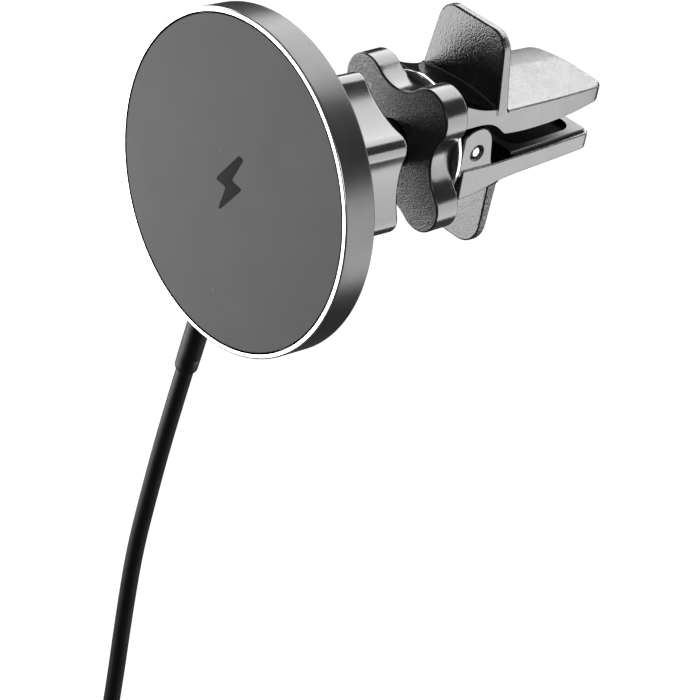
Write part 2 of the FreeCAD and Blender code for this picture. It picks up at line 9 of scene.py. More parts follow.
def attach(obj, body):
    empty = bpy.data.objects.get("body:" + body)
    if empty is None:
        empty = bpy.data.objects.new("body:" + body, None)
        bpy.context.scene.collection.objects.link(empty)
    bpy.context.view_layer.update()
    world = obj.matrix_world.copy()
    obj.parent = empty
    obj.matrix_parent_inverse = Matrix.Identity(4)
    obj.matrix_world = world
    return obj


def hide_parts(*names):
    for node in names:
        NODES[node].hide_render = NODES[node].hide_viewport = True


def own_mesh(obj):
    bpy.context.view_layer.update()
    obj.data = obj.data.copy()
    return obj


# Car vent phone mount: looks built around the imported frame. Lengths in the helpers are millimetres in the
# disc frame (disc front centre at 0, disc faces -Y); D() turns them into row metres.

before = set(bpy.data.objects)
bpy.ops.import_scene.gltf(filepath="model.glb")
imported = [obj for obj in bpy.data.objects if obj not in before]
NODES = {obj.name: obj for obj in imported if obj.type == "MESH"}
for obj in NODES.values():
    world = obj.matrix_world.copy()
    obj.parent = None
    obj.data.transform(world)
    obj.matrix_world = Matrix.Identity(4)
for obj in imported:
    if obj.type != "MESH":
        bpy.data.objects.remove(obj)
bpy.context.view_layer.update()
SY, SZ = 66.0, 2.1


def D(x, y, z):
    return Vector((x / 1000.0, (y - SY) / 1000.0, (z - SZ) / 1000.0))


# ------------------------------------------------------------------ camera
cam_data = bpy.data.cameras.new("camera")
cam_data.lens = 123.43
cam_data.sensor_width = 36.0
cam_data.clip_start = 0.01
cam_data.clip_end = 20.0
camera = bpy.data.objects.new("camera", cam_data)
R = ((0.6367865, -0.4900762, 0.5952548), (0.7522291, 0.2253796, -0.619157), (0.1692758, 0.8420388, 0.5121683))
L = (0.2656453, -0.3056367, 0.1838758)
camera.matrix_world = Matrix([[*R[i], L[i]] for i in range(3)] + [[0, 0, 0, 1]])
bpy.context.scene.collection.objects.link(camera)
bpy.context.scene.camera = camera


# ------------------------------------------------------------------ materials
def nodes_of(name):
    m = bpy.data.materials.new(name)
    m.use_nodes = True
    nt = m.node_tree
    for n in list(nt.nodes):
        nt.nodes.remove(n)
    out = nt.nodes.new("ShaderNodeOutputMaterial")
    p = nt.nodes.new("ShaderNodeBsdfPrincipled")
    nt.links.new(p.outputs[0], out.inputs[0])
    tc = nt.nodes.new("ShaderNodeTexCoord")
    return m, nt, p, tc


def noise(nt, tc, scale, detail=2.0, rough=0.5, stretch=None, seed=0.0):
    mp = nt.nodes.new("ShaderNodeMapping")
    nt.links.new(tc.outputs["Object"], mp.inputs["Vector"])
    if stretch:
        mp.inputs["Scale"].default_value = stretch
    mp.inputs["Location"].default_value = (seed, seed * 0.7, seed * 1.3)
    n = nt.nodes.new("ShaderNodeTexNoise")
    nt.links.new(mp.outputs[0], n.inputs["Vector"])
    n.inputs["Scale"].default_value = scale
    n.inputs["Detail"].default_value = detail
    n.inputs["Roughness"].default_value = rough
    return n


def ramp(nt, src, stops):
    r = nt.nodes.new("ShaderNodeValToRGB")
    nt.links.new(src, r.inputs["Fac"])
    e = r.color_ramp.elements
    while len(e) < len(stops):
        e.new(0.5)
    for k, (pos, c) in enumerate(stops):
        e[k].position = pos
        e[k].color = (*c, 1.0) if len(c) == 3 else c
    return r


def remap(nt, src, a, b, lo=0.3, hi=0.7):
    r = nt.nodes.new("ShaderNodeMapRange")
    nt.links.new(src, r.inputs["Value"])
    r.inputs["From Min"].default_value = lo
    r.inputs["From Max"].default_value = hi
    r.inputs["To Min"].default_value = a
    r.inputs["To Max"].default_value = b
    return r


def bump(nt, src, strength, dist, base=None):
    b = nt.nodes.new("ShaderNodeBump")
    b.inputs["Strength"].default_value = strength
    b.inputs["Distance"].default_value = dist
    nt.links.new(src, b.inputs["Height"])
    if base is not None:
        nt.links.new(base.outputs[0], b.inputs["Normal"])
    return b


def grained(name, colour, rough=(0.3, 0.4), var=0.12, grain=5200.0, strength=0.25, dist=0.00004, metallic=0.0, coat=0.0, coat_rough=0.1,
            spec=0.5, cloud=90.0, stretch=None, sheen=0.0):
    """Moulded or cast surface: cloudy colour, uneven gloss, fine grain."""
    m, nt, p, tc = nodes_of(name)
    c1 = noise(nt, tc, cloud, 4.0, 0.6, seed=3.1)
    lo = tuple(max(0.0, c * (1 - var)) for c in colour)
    hi = tuple(min(1.0, c * (1 + var)) for c in colour)
    r = ramp(nt, c1.outputs[0], [(0.3, lo), (0.7, hi)])
    nt.links.new(r.outputs[0], p.inputs["Base Color"])
    c2 = noise(nt, tc, cloud * 2.3, 5.0, 0.65, seed=7.7)
    nt.links.new(remap(nt, c2.outputs[0], rough[0], rough[1]).outputs[0], p.inputs["Roughness"])
    g = noise(nt, tc, grain, 1.0, 0.5, stretch=stretch, seed=1.3)
    b = bump(nt, g.outputs[0], strength, dist)
    nt.links.new(b.outputs[0], p.inputs["Normal"])
    p.inputs["Metallic"].default_value = metallic
    p.inputs["Specular IOR Level"].default_value = spec
    if coat > 0:
        p.inputs["Coat Weight"].default_value = coat
        p.inputs["Coat Roughness"].default_value = coat_rough
    if sheen > 0:
        p.inputs["Sheen Weight"].default_value = sheen
    return m


M = {}
M["clip_plastic"] = grained("clip_plastic", (0.015, 0.015, 0.0152), rough=(0.15, 0.20), var=0.15, grain=3900, strength=0.65, dist=0.00010, spec=0.95)
M["clip_side"] = grained("clip_side", (0.015, 0.015, 0.0152), rough=(0.24, 0.30), var=0.15, grain=4300, strength=0.06, dist=0.00003, spec=1.0)
# near-black copy of the clip plastic: painted shade for the inner walls, the jaw pad's pocket and the deck ahead of the
# fin
M["painted_shade_black"] = grained("painted_shade_black", (0.002, 0.002, 0.002), rough=(0.6, 0.7), var=0.2, grain=2600, strength=0.2, spec=0.02)
M["nut_plastic"] = grained("nut_plastic", (0.015, 0.015, 0.0152), rough=(0.17, 0.22), var=0.15, grain=3800, strength=0.05, dist=0.00003, spec=1.0)
M["knob_side"] = grained("knob_side", (0.014, 0.014, 0.0142), rough=(0.17, 0.22), var=0.15, grain=3600, strength=0.3, dist=0.00005, spec=0.95)
M["knob_plastic"] = grained("knob_plastic", (0.030, 0.030, 0.0303), rough=(0.28, 0.34), var=0.2, grain=3800, strength=1.0, dist=0.00016, spec=1.0)
M["black_plastic"] = grained("black_plastic", (0.010, 0.010, 0.0102), rough=(0.35, 0.5), var=0.15, grain=4200, strength=0.25)
M["cover_plastic"] = grained("cover_plastic", (0.016, 0.016, 0.0162), rough=(0.34, 0.44), var=0.12, grain=4600, strength=0.4, spec=0.8)
M["ball_plastic"] = grained("ball_plastic", (0.012, 0.012, 0.0122), rough=(0.12, 0.2), var=0.08, grain=3000, strength=0.04, spec=0.8)
M["plug_plastic"] = grained("plug_plastic", (0.012, 0.012, 0.0122), rough=(0.36, 0.46), var=0.12, grain=4600, strength=0.35)
M["rubber"] = grained("rubber", (0.005, 0.005, 0.005), rough=(0.45, 0.6), var=0.2, grain=2600, strength=0.2, spec=0.15)
M["cable_rubber"] = grained("cable_rubber", (0.005, 0.005, 0.0051), rough=(0.38, 0.48), var=0.15, grain=3200, strength=0.12, spec=0.3)
M["nylon"] = grained("nylon", (0.72, 0.71, 0.67), rough=(0.4, 0.5), var=0.04, grain=3000, strength=0.1)
M["polished_metal"] = grained("polished_metal", (0.64, 0.64, 0.65), rough=(0.12, 0.2), var=0.03, grain=1500, strength=0.03, metallic=1.0, stretch=(1, 12, 1))
M["steel"] = grained("steel", (0.5, 0.5, 0.51), rough=(0.16, 0.26), var=0.06, grain=2200, strength=0.06, metallic=1.0, stretch=(0.2, 2, 2))
M["plug_metal"] = grained("plug_metal", (0.5, 0.5, 0.5), rough=(0.2, 0.3), var=0.05, grain=2200, strength=0.06, metallic=1.0, stretch=(4, 4, 0.3))
M["magnet"] = grained("magnet", (0.46, 0.46, 0.47), rough=(0.2, 0.3), var=0.08, grain=1500, strength=0.08, metallic=1.0)
M["copper"] = grained("copper", (0.62, 0.30, 0.15), rough=(0.22, 0.32), var=0.12, grain=1200, strength=0.1, metallic=1.0)
M["ferrite"] = grained("ferrite", (0.03, 0.03, 0.032), rough=(0.55, 0.7), var=0.2, grain=2500, strength=0.3)
M["board"] = grained("board", (0.01, 0.07, 0.03), rough=(0.3, 0.42), var=0.2, grain=1800, strength=0.1, cloud=300)
M["tie_strap"] = grained("tie_strap", (0.015, 0.015, 0.015), rough=(0.75, 0.9), var=0.3, grain=1600, strength=0.8, dist=0.0001, sheen=0.2)


def pad_material():
    m, nt, p, tc = nodes_of("pad")
    c = noise(nt, tc, 60, 5.0, 0.6, seed=2.0)
    base = ramp(nt, c.outputs[0], [(0.3, (0.1125, 0.1125, 0.1135)), (0.7, (0.1175, 0.1175, 0.1185))])
    v = nt.nodes.new("ShaderNodeTexVoronoi")
    mp = nt.nodes.new("ShaderNodeMapping")
    nt.links.new(tc.outputs["Object"], mp.inputs["Vector"])
    nt.links.new(mp.outputs[0], v.inputs["Vector"])
    v.inputs["Scale"].default_value = 260
    big = noise(nt, tc, 420, 1.0, 0.5, seed=9.0)
    sel = nt.nodes.new("ShaderNodeMath")
    sel.operation = "MULTIPLY"
    spot = remap(nt, v.outputs["Distance"], 1.0, 0.0, 0.02, 0.075)
    keep = remap(nt, big.outputs[0], 0.0, 1.0, 0.62, 0.68)
    nt.links.new(spot.outputs[0], sel.inputs[0])
    nt.links.new(keep.outputs[0], sel.inputs[1])
    mix = nt.nodes.new("ShaderNodeMix")
    mix.data_type = "RGBA"
    nt.links.new(sel.outputs[0], mix.inputs["Factor"])
    nt.links.new(base.outputs[0], mix.inputs[6])
    mix.inputs[7].default_value = (0.30, 0.30, 0.30, 1)
    nt.links.new(mix.outputs[2], p.inputs["Base Color"])
    c2 = noise(nt, tc, 150, 4.0, 0.6, seed=5.0)
    nt.links.new(remap(nt, c2.outputs[0], 0.59, 0.62).outputs[0], p.inputs["Roughness"])
    g = noise(nt, tc, 4200, 1.0, 0.5, seed=1.0)
    nt.links.new(bump(nt, g.outputs[0], 0.2, 0.00003).outputs[0], p.inputs["Normal"])
    p.inputs["Specular IOR Level"].default_value = 0.35
    return m


M["pad"] = pad_material()


def band_material():
    """Satin anodised band with fine turning lines; object space, so lines follow Y."""
    m, nt, p, tc = nodes_of("housing_metal")
    c = noise(nt, tc, 45, 4.0, 0.55, seed=4.0)
    base = ramp(nt, c.outputs[0], [(0.3, (0.066, 0.066, 0.067)), (0.7, (0.078, 0.078, 0.079))])
    nt.links.new(base.outputs[0], p.inputs["Base Color"])
    c2 = noise(nt, tc, 160, 5.0, 0.6, seed=6.0)
    nt.links.new(remap(nt, c2.outputs[0], 0.29, 0.35).outputs[0], p.inputs["Roughness"])
    g = noise(nt, tc, 900, 2.0, 0.6, stretch=(0.35, 9.0, 0.35), seed=1.0)
    b1 = bump(nt, g.outputs[0], 0.05, 0.00003)
    g2 = noise(nt, tc, 5200, 1.0, 0.5, seed=2.0)
    nt.links.new(bump(nt, g2.outputs[0], 0.1, 0.00002, b1).outputs[0], p.inputs["Normal"])
    p.inputs["Metallic"].default_value = 1.0
    return m


M["housing_metal"] = band_material()
M["bevel_metal"] = grained("bevel_metal", (0.8, 0.8, 0.8), rough=(0.14, 0.22), var=0.03, grain=1600, strength=0.03, metallic=1.0)


# ------------------------------------------------------------------ mesh helpers
def finish_mesh(name, bm, sharp=32.0, weighted=True):
    bmesh.ops.recalc_face_normals(bm, faces=bm.faces)
    for f in bm.faces:
        f.smooth = True
    lim = math.radians(sharp)
    for e in bm.edges:
        e.smooth = not (len(e.link_faces) == 2 and e.calc_face_angle(0.0) > lim)
    me = bpy.data.meshes.new(name)
    bm.to_mesh(me)
    bm.free()
    ob = bpy.data.objects.new(name, me)
    bpy.context.scene.collection.objects.link(ob)
    if weighted:
        wn = ob.modifiers.new("wn", "WEIGHTED_NORMAL")
        wn.keep_sharp = True
        wn.weight = 100
        apply_mods(ob)
    return ob


def apply_mods(ob):
    dg = bpy.context.evaluated_depsgraph_get()
    me = bpy.data.meshes.new_from_object(ob.evaluated_get(dg), preserve_all_data_layers=True, depsgraph=dg)
    ob.modifiers.clear()
    old = ob.data
    ob.data = me
    me.name = ob.name
    if old.users == 0:
        bpy.data.meshes.remove(old)
    return ob


def rings_mesh(name, rings, loop=False, mats=None, sharp=32.0):
    """rings: lists of disc-mm points; one-point lists are poles. mats: material index of each band."""
    bm = bmesh.new()
    vs = [[bm.verts.new(D(*p)) for p in r] for r in rings]
    pairs = [(i, i + 1) for i in range(len(vs) - 1)] + ([(len(vs) - 1, 0)] if loop else [])
    for k, (i, j) in enumerate(pairs):
        a, b = vs[i], vs[j]
        n = max(len(a), len(b))
        for q in range(n):
            q2 = (q + 1) % n
            if len(a) == 1:
                f = bm.faces.new((a[0], b[q], b[q2]))
            elif len(b) == 1:
                f = bm.faces.new((a[q], b[0], a[q2]))
            else:
                f = bm.faces.new((a[q], b[q], b[q2], a[q2]))
            if mats:
                f.material_index = mats[k]
    return finish_mesh(name, bm, sharp)


def circle(r, y, n=192, phase=0.0):
    if r < 1e-6:
        return [(0.0, y, 0.0)]
    return [(r * math.cos(2 * math.pi * i / n + phase), y, r * math.sin(2 * math.pi * i / n + phase)) for i in range(n)]


def lathe(name, profile, n=192, loop=False, mats=None, sharp=32.0):
    return rings_mesh(name, [circle(r, y, n) for r, y in profile], loop, mats, sharp)


def corner(c, r, a0, a1, k=4):
    """Arc points (r, y) about c from angle a0 to a1 in degrees."""
    return [(c[0] + r * math.cos(math.radians(a0 + (a1 - a0) * i / k)), c[1] + r * math.sin(math.radians(a0 + (a1 - a0) * i / k))) for i in range(k + 1)]


def lobe_outline(n, d, rho, rv, phi, na=18, nc=22):
    """Points and outward normals of n round lobes joined by concave arcs."""
    h = math.pi / n
    b = -2 * d * math.cos(h)
    e = (-b + math.sqrt(b * b - 4 * (d * d - (rho + rv) ** 2))) / 2
    out = []

    def arc(cx, cz, r, a0, a1, k, sign):
        for i in range(k):
            t = a0 + (a1 - a0) * i / k
            out.append((cx + r * math.cos(t), cz + r * math.sin(t), sign * math.cos(t), sign * math.sin(t)))
    for i in range(n):
        a = math.radians(phi) + 2 * h * i
        lc = (d * math.cos(a), d * math.sin(a))
        vp = (e * math.cos(a - h), e * math.sin(a - h))
        vn = (e * math.cos(a + h), e * math.sin(a + h))
        a0 = math.atan2(vp[1] - lc[1], vp[0] - lc[0])
        a1 = math.atan2(vn[1] - lc[1], vn[0] - lc[0])
        while a1 < a0:
            a1 += 2 * math.pi
        arc(lc[0], lc[1], rho, a0, a1, na, 1)
        l2 = (d * math.cos(a + 2 * h), d * math.sin(a + 2 * h))
        b0 = math.atan2(lc[1] - vn[1], lc[0] - vn[0])
        b1 = math.atan2(l2[1] - vn[1], l2[0] - vn[0])
        while b1 > b0:
            b1 -= 2 * math.pi
        arc(vn[0], vn[1], rv, b0, b1, nc, -1)
    return out


def lobe_ring(out, y, inset=0.0):
    return [(x - nx * inset, y, z - nz * inset) for x, z, nx, nz in out]


def match_circle(out, r, y):
    """Circle points at the outline's own angles."""
    res = []
    for x, z, _, _ in out:
        a = math.atan2(z, x)
        res.append((r * math.cos(a), y, r * math.sin(a)))
    return res


def cad_copy(name, node, width=0.22, segments=3, angle=28.0, dissolve=0.25, clamp=True, wide=None, cut=None):
    src = NODES[node]
    bm = bmesh.new()
    if cut:
        raw = bpy.data.objects.new(name + "_raw", src.data.copy())
        bpy.context.scene.collection.objects.link(raw)
        bo = raw.modifiers.new("cut", "BOOLEAN")
        bo.operation = "DIFFERENCE"
        bo.solver = "EXACT"
        bo.object = cut
        apply_mods(raw)
        bm.from_mesh(raw.data)
        for o in (raw, cut):
            d = o.data
            bpy.data.objects.remove(o)
            bpy.data.meshes.remove(d)
    else:
        bm.from_mesh(src.data)
    bmesh.ops.remove_doubles(bm, verts=bm.verts, dist=2e-6)
    if dissolve:
        bmesh.ops.dissolve_limit(bm, angle_limit=math.radians(dissolve), verts=bm.verts, edges=bm.edges)
    bmesh.ops.recalc_face_normals(bm, faces=bm.faces)
    for f in bm.faces:
        f.smooth = True
        f.material_index = 0
    if wide:
        lay = bm.edges.layers.float.new("bevel_weight_edge")
        for e in bm.edges:
            if len(e.link_faces) == 2 and e.calc_face_angle(0.0) > math.radians(angle):
                a, b = ((v.co.x * 1000.0, v.co.y * 1000.0 + SY, v.co.z * 1000.0 + SZ) for v in e.verts)
                e[lay] = 1.0 if wide(a) and wide(b) else 0.3
                if all(v[1] < 45.5 and math.hypot(v[0], v[2]) < 10.0 for v in (a, b)):
                    e[lay] = 0.0  # running face and sleeve of the clamp screw stay sharp
    tree = BVHTree.FromBMesh(bm)
    me = bpy.data.meshes.new(name)
    bm.to_mesh(me)
    bm.free()
    ob = bpy.data.objects.new(name, me)
    bpy.context.scene.collection.objects.link(ob)
    if width:
        bv = ob.modifiers.new("bevel", "BEVEL")
        bv.width = width / 1000.0
        bv.segments = segments
        bv.limit_method = "WEIGHT" if wide else "ANGLE"
        bv.angle_limit = math.radians(angle)
        bv.miter_outer = "MITER_ARC"
        bv.use_clamp_overlap = clamp
    if not clamp:
        # a rounding wider than a short edge can throw a vertex out, so it is set back on the surface
        apply_mods(ob)
        for v in ob.data.vertices:
            near = tree.find_nearest(v.co)
            if near[3] > 0.00018:
                v.co = near[0]
    wn = ob.modifiers.new("wn", "WEIGHTED_NORMAL")
    wn.keep_sharp = True
    wn.weight = 100
    return apply_mods(ob)


def side_slot(ob, inner, index=1, limit=0.9):
    """The flat sides of the clip came off a smoother mould wall; inner walls get a dull near-black painted shade."""
    for f in ob.data.polygons:
        c = f.center * 1000.0
        x, y, z = c.x, c.y + SY, c.z + SZ
        if inner(x, y, z, f.normal):
            f.material_index = 2
        elif abs(f.normal.x) > limit:
            f.material_index = index


# the clamp screw's axis passes through the ball centre, a little pitched up and yawed
PIVOT = D(0, 18.5, 0)
CLAMP = Matrix.Translation(PIVOT) @ Matrix.Rotation(math.radians(-0.97), 4, "Z") @ Matrix.Rotation(math.radians(3.62), 4, "X") @ Matrix.Translation(-PIVOT)


def on_clamp(ob):
    ob.data.transform(CLAMP)
    return ob


def piece(ob, body, mats, *nodes_, slot=None):
    idx = [f.material_index for f in ob.data.polygons]       # clearing the slots would set them all to 0
    ob.data.materials.clear()
    for m in (mats if isinstance(mats, (list, tuple)) else [mats]):
        ob.data.materials.append(m)
    ob.data.polygons.foreach_set("material_index", idx)
    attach(ob, body)
    if nodes_:
        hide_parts(*nodes_)
    return ob


# ------------------------------------------------------------------ cord
CABLE_D = 3.3
cd = (math.cos(math.radians(-99.5)), math.sin(math.radians(-99.5)))
E0 = (cd[0] * 42.0, 3.2, cd[1] * 42.0)
LEAD = [E0, (-9.44, 3.2, -56.4), (-11.55, 3.2, -73.0), (-13.05, 3.2, -87.0), (-13.2, 3.2, -103.0), (-12.8, 3.1, -119.8),
        (-12.2, 2.2, -137.0), (-7.4, 1.5, -153.4)]
CX, CZ = -26.6, -168.5
Y1, Y2 = 1.5, 4.9
STEP = 22.5
KR = (3 + math.cos(math.radians(STEP))) / 4      # a quadratic spline lies this share of its points' radius out
R0, GAP = 22.65, 3.4


def ease(t):
    t = max(0.0, min(1.0, t))
    return t * t * (3 - 2 * t)


def slot_of(n):
    """Place of the cord in its layer after stepping zone n: 0 1 2 3 on the front layer, 3 2 1 0 -1 on the back one."""
    return n if n <= 3 else 7 - n


coil_pts = []
for k in range(0, 8 * 16 + 1):
    a = 7.0 - STEP * k                       # polar angle, going clockwise
    past = (120.0 - a) / 360.0               # whole turns since the stepping zone began
    turn = math.floor(past)
    t = (past - turn) * 360.0 / 90.0         # 0..1 in the zone from polar 120 to 30
    e = ease(t)
    s0, s1 = slot_of(turn - 1), slot_of(turn)
    r = R0 - GAP * (s0 + (s1 - s0) * e)
    y = Y1
    if turn == 4:
        y = Y1 + (Y2 - Y1) * e
        dip = (past - turn) * 360.0
        w = (dip + 20.0) / 130.0
        if 0 <= w <= 1:
            r -= 1.8 * math.sin(math.pi * w) ** 2
    elif turn > 4:
        y = Y2
    coil_pts.append((CX + r / KR * math.cos(math.radians(a)), y, CZ + r / KR * math.sin(math.radians(a))))
TAIL = [(-1.4, 4.9, -177.5), (-3.2, 4.9, -187.5), (-4.0, 4.9, -193.5), (-4.0, 4.9, -198.6)]
route = LEAD + coil_pts + TAIL
cu = bpy.data.curves.new("cable", "CURVE")
cu.dimensions = "3D"
sp = cu.splines.new("NURBS")
sp.points.add(len(route) - 1)
for p, q in zip(sp.points, route):
    p.co = (*D(*q), 1.0)
sp.order_u = 3
sp.use_endpoint_u = True
sp.resolution_u = 8
cu.bevel_depth = CABLE_D / 2000.0
cu.bevel_resolution = 7
cu.use_fill_caps = True
cable = bpy.data.objects.new("cable", cu)
bpy.context.scene.collection.objects.link(cable)
cu.materials.append(M["cable_rubber"])
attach(cable, "head")
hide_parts("cable_lead", "cable_coil", "cable_tail")


# ------------------------------------------------------------------ head
f = 0.12
prof = [(0, 0.06), (12, 0.06), (24, 0.06)] + corner((28.86 - f, 0.06 + f), f, -90, 0, 5) + [(28.86, 0.9), (0, 0.9)]
piece(lathe("front_pad_soft", prof, 256), "head", M["pad"], "front_pad", slot="pad")

# plain charging bolt printed on the pad
bm = bmesh.new()
bolt = [(0.9, 6.3), (-3.5, -0.75), (-0.55, -0.75), (-1.45, -6.3), (3.5, 1.15), (0.45, 1.15), (2.3, 6.3)]
tilt = math.radians(-4)
bolt = [(x * math.cos(tilt) - z * math.sin(tilt), x * math.sin(tilt) + z * math.cos(tilt)) for x, z in bolt]


def round_corners(poly, r, k=4):
    res = []
    n = len(poly)
    for i in range(n):
        a, b, c = (Vector(poly[i - 1]), Vector(poly[i]), Vector(poly[(i + 1) % n]))
        u, v = (a - b).normalized(), (c - b).normalized()
        ang = u.angle(v)
        t = min(r / math.tan(ang / 2), 0.45 * (a - b).length, 0.45 * (c - b).length)
        for j in range(k + 1):
            s = j / k
            p0, p1 = b + u * t, b + v * t
            q = (1 - s) ** 2 * p0 + 2 * s * (1 - s) * b + s ** 2 * p1
            res.append((q.x, q.y))
    return res


bolt = round_corners(bolt, 0.45)
front = [bm.verts.new(D(x, 0.035, z)) for x, z in bolt]
back = [bm.verts.new(D(x, 0.3, z)) for x, z in bolt]
bm.faces.new(front)
bm.faces.new(list(reversed(back)))
for i in range(len(bolt)):
    j = (i + 1) % len(bolt)
    bm.faces.new((front[i], back[i], back[j], front[j]))
mark = finish_mesh("charge_mark", bm, 30)
M["mark"] = grained("mark", (0.020, 0.020, 0.020), rough=(0.6, 0.7), var=0.15, grain=4200, strength=0.15, spec=0.1)
piece(mark, "head", M["mark"], slot="black_plastic")

# housing ring: polished front bevel (material 1), satin band (material 0)
pr = [(27.9, 1.8), (28.96, 1.8), (29.12, 1.6), (29.15, 0.06)] + corner((29.21, 0.06), 0.06, 180, 270, 3)[1:] + [(29.74, 0.0)] + \
     corner((29.74, 0.26), 0.26, -90, 0, 5)[1:] + [(30.0, 0.5), (30.0, 3.0), (30.0, 5.8)] + corner((29.62, 5.9), 0.38, 0, 90, 6) + \
     [(28.4, 6.28), (28.4, 5.1), (27.9, 5.1)]
mt = []
for i in range(len(pr)):
    a, b = pr[i], pr[(i + 1) % len(pr)]
    mt.append(1 if (a[1] < 0.19 and b[1] < 0.19) else 0)
ring = lathe("housing_ring_band", pr, 256, loop=True, mats=mt, sharp=40)
piece(ring, "head", [M["housing_metal"], M["bevel_metal"]], "housing_ring", slot="housing_metal")

piece(cad_copy("rear_cover_shell", "rear_cover", 0.18, 3, 25), "head", M["cover_plastic"], "rear_cover", slot="cover_plastic")
piece(cad_copy("ball_socket_body", "ball_socket", 0.12, 2, 30), "head", M["black_plastic"], "ball_socket", slot="black_plastic")

# cable boot: sleeve with a rounded mouth and one shallow ring
ax = Vector((cd[0], 0, cd[1]))
side = Vector((-cd[1], 0, cd[0]))
yy = Vector((0, 1, 0))


def along(profile, n=64):
    rings = []
    for s, r in profile:
        c = ax * s
        if r < 1e-6:
            rings.append([(c.x, 3.2, c.z)])
            continue
        ring_ = []
        for i in range(n):
            t = 2 * math.pi * i / n
            q = c + side * (r * math.cos(t)) + yy * (r * math.sin(t))
            ring_.append((q.x, 3.2 + q.y, q.z))
        rings.append(ring_)
    return rings


bp = [(27.2, 0), (27.2, 2.15), (30.6, 2.15), (38.6, 2.15), (38.75, 2.08), (38.95, 2.08), (39.1, 2.15), (41.3, 2.13), (41.6, 2.08), (41.85, 1.95), (41.97, 1.78), (42.0, 1.66), (42.0, 0)]
piece(rings_mesh("cable_boot_sleeve", along(bp), sharp=50), "head", M["cable_rubber"], "cable_boot", slot="cable_rubber")

# ------------------------------------------------------------------ nut
nut_o = lobe_outline(6, 13.24, 2.63, 18.2, 34.4)
rg = [match_circle(nut_o, 11.06, 8.9), lobe_ring(nut_o, 8.9, 0.42)]
for i in range(1, 5):
    t = math.radians(90.0 * i / 4)
    rg.append(lobe_ring(nut_o, 8.9 + 0.42 * (1 - math.cos(t)), 0.42 * (1 - math.sin(t))))
rg.append(lobe_ring(nut_o, 16.0))
rg.append(lobe_ring(nut_o, 26.3))
for i in range(0, 7):
    t = math.radians(90.0 * i / 6)
    rg.append(lobe_ring(nut_o, 26.4 + 0.8 * math.sin(t), 0.8 * (1 - math.cos(t))))
rg += [match_circle(nut_o, 9.75, 27.2), match_circle(nut_o, 9.5, 27.12), match_circle(nut_o, 9.3, 26.9), match_circle(nut_o, 8.15, 23.6), match_circle(nut_o, 8.4, 23.5),
       match_circle(nut_o, 9.4, 21.1), match_circle(nut_o, 9.7, 20.1), match_circle(nut_o, 11.06, 20.05)]
piece(rings_mesh("ball_nut_grip", rg, loop=True, sharp=35), "nut", M["nut_plastic"], "ball_nut", slot="nut_plastic")

# ------------------------------------------------------------------ knob
K0, K1 = 36.27, 41.31
kn_o = lobe_outline(4, 11.92, 5.2, 7.95, 48.56, 30, 26)
rg = [match_circle(kn_o, 4.5, K0 + 0.15), match_circle(kn_o, 4.65, K0), match_circle(kn_o, 7.0, K0), lobe_ring(kn_o, K0, 0.36)]
for i in range(1, 6):
    t = math.radians(90.0 * i / 5)
    rg.append(lobe_ring(kn_o, K0 + 0.36 * (1 - math.cos(t)), 0.36 * (1 - math.sin(t))))
rg.append(lobe_ring(kn_o, K0 + 1.3))
rg.append(lobe_ring(kn_o, K1 - 1.3))
for i in range(0, 5):
    t = math.radians(90.0 * i / 4)
    rg.append(lobe_ring(kn_o, K1 - 0.32 + 0.32 * math.sin(t), 0.32 * (1 - math.cos(t))))
rg += [match_circle(kn_o, 8.2, K1), match_circle(kn_o, 8.06, K1 - 0.15), match_circle(kn_o, 8.06, K0 + 0.95), match_circle(kn_o, 4.5, K0 + 0.95)]
mt = [0, 0, 0] + [1] * (len(rg) - 3)
piece(on_clamp(rings_mesh("clamp_knob_grip", rg, loop=True, mats=mt, sharp=35)), "knob", [M["knob_plastic"], M["knob_side"]], "clamp_knob", slot="knob_plastic")

# ------------------------------------------------------------------ thrust ring
W0, W1 = 41.36, 42.26
tp = [(8.06, W0 + 0.1), (8.16, W0), (11.8, W0)] + corner((11.85, W0 + 0.25), 0.25, -90, 0, 4) + corner((11.85, W1 - 0.25), 0.25, 0, 90, 4) + [(8.16, W1), (8.06, W1 - 0.1)]
M["washer_face"] = grained("washer_face", (0.55, 0.55, 0.55), rough=(0.5, 0.6), var=0.06, grain=1500, strength=0.05, metallic=1.0)
piece(on_clamp(lathe("thrust_ring_washer", tp, 160, loop=True, mats=[1, 1] + [0] * (len(tp) - 2), sharp=40)), "ring", [M["polished_metal"], M["washer_face"]],
      "thrust_ring", slot="polished_metal")

# ------------------------------------------------------------------ clip
# the thin horns beside the washer's recess are rounded right off on the real moulding
horns = on_clamp(lathe("horn_cut", [(8.6, 41.0), (30.0, 41.0), (30.0, 43.87), (8.6, 43.87)], 128, loop=True))
body_ob = cad_copy("clip_body_shell", "clip_body", 0.40, 4, 28, clamp=False, wide=lambda v: v[1] > 50.9 and v[2] > 8.5, cut=horns)
lever_ob = cad_copy("lower_jaw_lever", "lower_jaw", 0.36, 4, 28, clamp=False, wide=lambda v: abs(v[0]) > 9.0 or v[2] < -6.0)
piece(body_ob, "clip", [M["clip_plastic"], M["clip_side"], M["painted_shade_black"]], "clip_body", slot="clip_plastic")
M["tab_side"] = grained("tab_side", (0.015, 0.015, 0.0152), rough=(0.3, 0.36), var=0.15, grain=2600, strength=1.0, dist=0.0003, spec=1.0)
piece(lever_ob, "jaw", [M["clip_plastic"], M["clip_side"], M["painted_shade_black"], M["tab_side"]], "lower_jaw", slot="clip_plastic")
# inner walls and pocket floor of body and lever take the near-black painted shade
side_slot(body_ob, lambda x, y, z, n: abs(x) < 9.2 and z < 8.4 and y > 44.0)
side_slot(lever_ob, lambda x, y, z, n: abs(x) < 9.2 and z > -2.6 and 44.0 < y < 75.5 and (n.z > 0.3 or abs(n.x) > 0.5))
